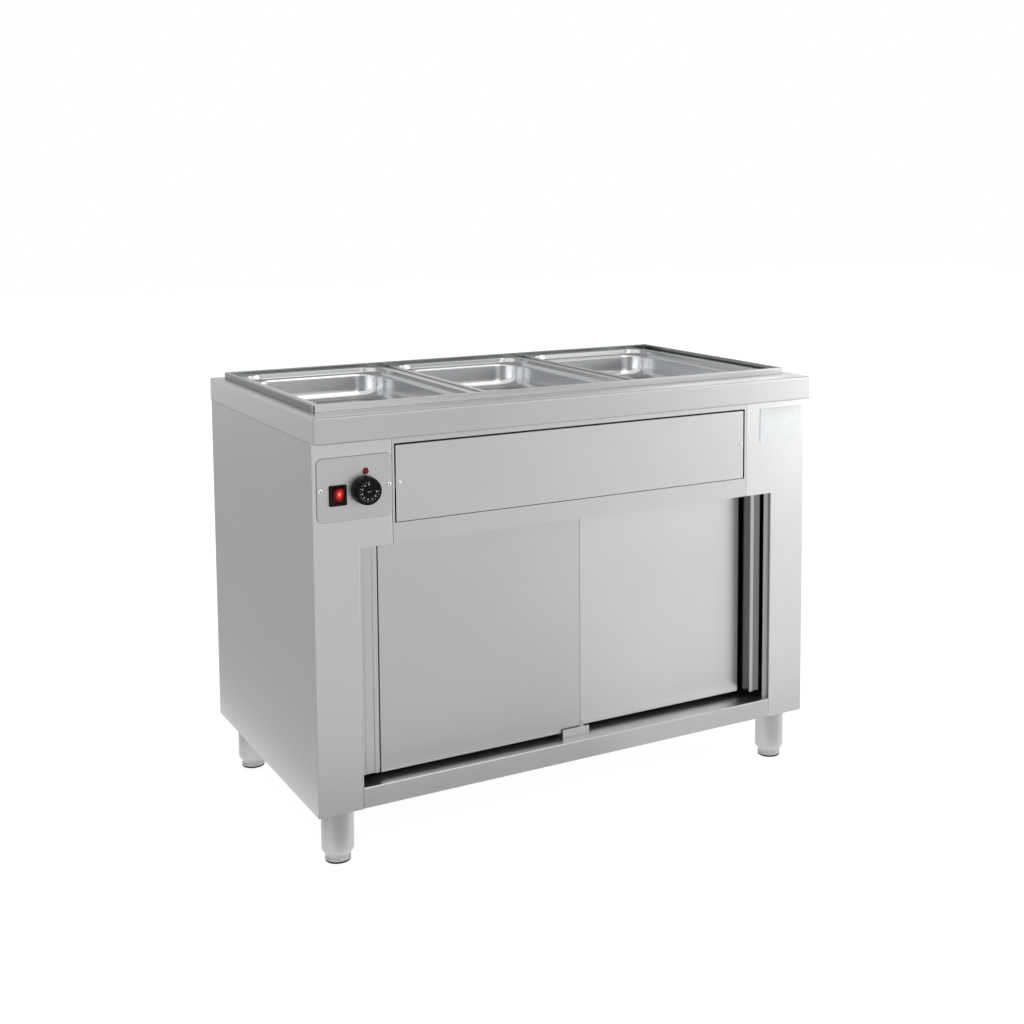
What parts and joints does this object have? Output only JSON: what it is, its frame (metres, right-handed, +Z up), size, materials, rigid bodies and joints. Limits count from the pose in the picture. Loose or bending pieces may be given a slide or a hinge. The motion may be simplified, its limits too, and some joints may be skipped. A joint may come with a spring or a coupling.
{
  "type": "bain-marie food warmer",
  "caption": "Stainless steel wet-well food warmer: full-size pans in a heated water bath on a closed cupboard with sliding doors and adjustable legs.",
  "frame": {"origin": "on the floor, under the middle of the object's overall box", "axes": "+X to the right seen from the front, -Y towards the user at the front, +Z up"},
  "size_m": [1.1, 0.6598, 0.8483],
  "materials": {
    "brushed_steel": "brushed stainless sheet",
    "polished_steel": "bright polished stainless sheet",
    "greyed_steel": "satin stainless, greyed by handling",
    "bright_steel": "bright plated steel",
    "black_plastic": "black moulded plastic",
    "red_plastic": "red translucent plastic",
    "red_lens": "dark red lens",
    "cream_plastic": "cream ceramic and plastic",
    "blank_label": "blank white label on a thin plate",
    "white_nylon": "white nylon",
    "black_rubber": "black rubber",
    "valve_brass": "plain brass",
    "copper_tube": "bare copper"
  },
  "bodies": {
    "cabinet": {"left_side_panel": "brushed_steel", "right_side_panel": "brushed_steel", "back_panel": "brushed_steel", "cabinet_floor": "brushed_steel", "cupboard_ceiling": "brushed_steel", "front_fascia": "brushed_steel", "access_panel": "brushed_steel", "access_panel_screw_left": "bright_steel", "access_panel_screw_right": "bright_steel", "worktop": "brushed_steel", "well_rim": "greyed_steel", "water_tank": "brushed_steel", "pan_support_bar_left": "polished_steel", "pan_support_bar_right": "polished_steel", "heating_element": "greyed_steel", "element_flange": "valve_brass", "drain_valve": "valve_brass", "thermostat_bulb": "copper_tube", "terminal_block": "cream_plastic", "cable_gland": "black_plastic", "control_plate": "brushed_steel", "control_plate_screw_left": "bright_steel", "control_plate_screw_right": "bright_steel", "switch_housing": "black_plastic", "thermostat_body": "cream_plastic", "indicator_lamp": "red_lens", "rating_plate": "blank_label", "door_track": "brushed_steel", "door_guide": "brushed_steel", "left_jamb": "brushed_steel", "right_jamb": "brushed_steel", "leg_front_left": "brushed_steel", "leg_front_right": "brushed_steel", "leg_rear_left": "brushed_steel", "leg_rear_right": "brushed_steel"},
    "left_door": {"left_door": "brushed_steel", "left_door_hanger_left": "bright_steel", "left_door_hanger_right": "bright_steel"},
    "right_door": {"right_door": "brushed_steel", "right_door_hanger_left": "bright_steel", "right_door_hanger_right": "bright_steel"},
    "left_door_wheel_left": {"left_door_wheel_left": "white_nylon"},
    "left_door_wheel_right": {"left_door_wheel_right": "white_nylon"},
    "right_door_wheel_left": {"right_door_wheel_left": "white_nylon"},
    "right_door_wheel_right": {"right_door_wheel_right": "white_nylon"},
    "thermostat_knob": {"thermostat_knob": "black_plastic"},
    "switch_rocker": {"switch_rocker": "red_plastic"},
    "drain_valve_lever": {"drain_valve_lever": "red_plastic"},
    "gn_pan_left": {"gn_pan_left": "polished_steel"},
    "gn_pan_middle": {"gn_pan_middle": "polished_steel"},
    "gn_pan_right": {"gn_pan_right": "polished_steel"},
    "foot_front_left": {"foot_front_left": "bright_steel", "foot_pad_front_left": "black_rubber"},
    "foot_front_right": {"foot_front_right": "bright_steel", "foot_pad_front_right": "black_rubber"},
    "foot_rear_left": {"foot_rear_left": "bright_steel", "foot_pad_rear_left": "black_rubber"},
    "foot_rear_right": {"foot_rear_right": "bright_steel", "foot_pad_rear_right": "black_rubber"}
  },
  "joints": [
    {"name": "left_door_slide", "type": "slide", "parent": "cabinet", "child": "left_door", "axis": [1, 0, 0], "range_m": [0, 0.4]},
    {"name": "right_door_slide", "type": "slide", "parent": "cabinet", "child": "right_door", "axis": [-1, 0, 0], "range_m": [0, 0.4]},
    {"name": "left_door_wheel_left_roll", "type": "hinge", "parent": "left_door", "child": "left_door_wheel_left", "pos_m": [-0.351, -0.2666, 0.6188], "axis": [0, 1, 0], "range_deg": [0, 2560]},
    {"name": "left_door_wheel_right_roll", "type": "hinge", "parent": "left_door", "child": "left_door_wheel_right", "pos_m": [-0.051, -0.2666, 0.6188], "axis": [0, 1, 0], "range_deg": [0, 2560]},
    {"name": "right_door_wheel_left_roll", "type": "hinge", "parent": "right_door", "child": "right_door_wheel_left", "pos_m": [0.051, -0.2466, 0.6188], "axis": [0, -1, 0], "range_deg": [0, 2560]},
    {"name": "right_door_wheel_right_roll", "type": "hinge", "parent": "right_door", "child": "right_door_wheel_right", "pos_m": [0.351, -0.2466, 0.6188], "axis": [0, -1, 0], "range_deg": [0, 2560]},
    {"name": "thermostat_turn", "type": "hinge", "parent": "cabinet", "child": "thermostat_knob", "pos_m": [-0.45, -0.3186, 0.697], "axis": [0, 1, 0], "range_deg": [0, 270]},
    {"name": "switch_tilt", "type": "hinge", "parent": "cabinet", "child": "switch_rocker", "pos_m": [-0.501, -0.3054, 0.6915], "axis": [1, 0, 0], "range_deg": [-16, 0]},
    {"name": "drain_lever_turn", "type": "hinge", "parent": "cabinet", "child": "drain_valve_lever", "pos_m": [0.4, 0.1252, 0.583], "axis": [0, -1, 0], "range_deg": [0, 90]},
    {"name": "gn_pan_left_lift", "type": "slide", "parent": "cabinet", "child": "gn_pan_left", "axis": [0, 0, 1], "range_m": [0, 0.2]},
    {"name": "gn_pan_middle_lift", "type": "slide", "parent": "cabinet", "child": "gn_pan_middle", "axis": [0, 0, 1], "range_m": [0, 0.2]},
    {"name": "gn_pan_right_lift", "type": "slide", "parent": "cabinet", "child": "gn_pan_right", "axis": [0, 0, 1], "range_m": [0, 0.2]},
    {"name": "foot_front_left_adjust", "type": "slide", "parent": "cabinet", "child": "foot_front_left", "axis": [0, 0, -1], "range_m": [0, 0.025]},
    {"name": "foot_front_right_adjust", "type": "slide", "parent": "cabinet", "child": "foot_front_right", "axis": [0, 0, -1], "range_m": [0, 0.025]},
    {"name": "foot_rear_left_adjust", "type": "slide", "parent": "cabinet", "child": "foot_rear_left", "axis": [0, 0, -1], "range_m": [0, 0.025]},
    {"name": "foot_rear_right_adjust", "type": "slide", "parent": "cabinet", "child": "foot_rear_right", "axis": [0, 0, -1], "range_m": [0, 0.025]}
  ],
  "couplings": [
    {"joint": "left_door_wheel_left_roll", "follows": "left_door_slide", "rad_per_m": 111.11},
    {"joint": "left_door_wheel_right_roll", "follows": "left_door_slide", "rad_per_m": 111.11},
    {"joint": "right_door_wheel_left_roll", "follows": "right_door_slide", "rad_per_m": 111.11},
    {"joint": "right_door_wheel_right_roll", "follows": "right_door_slide", "rad_per_m": 111.11}
  ]
}
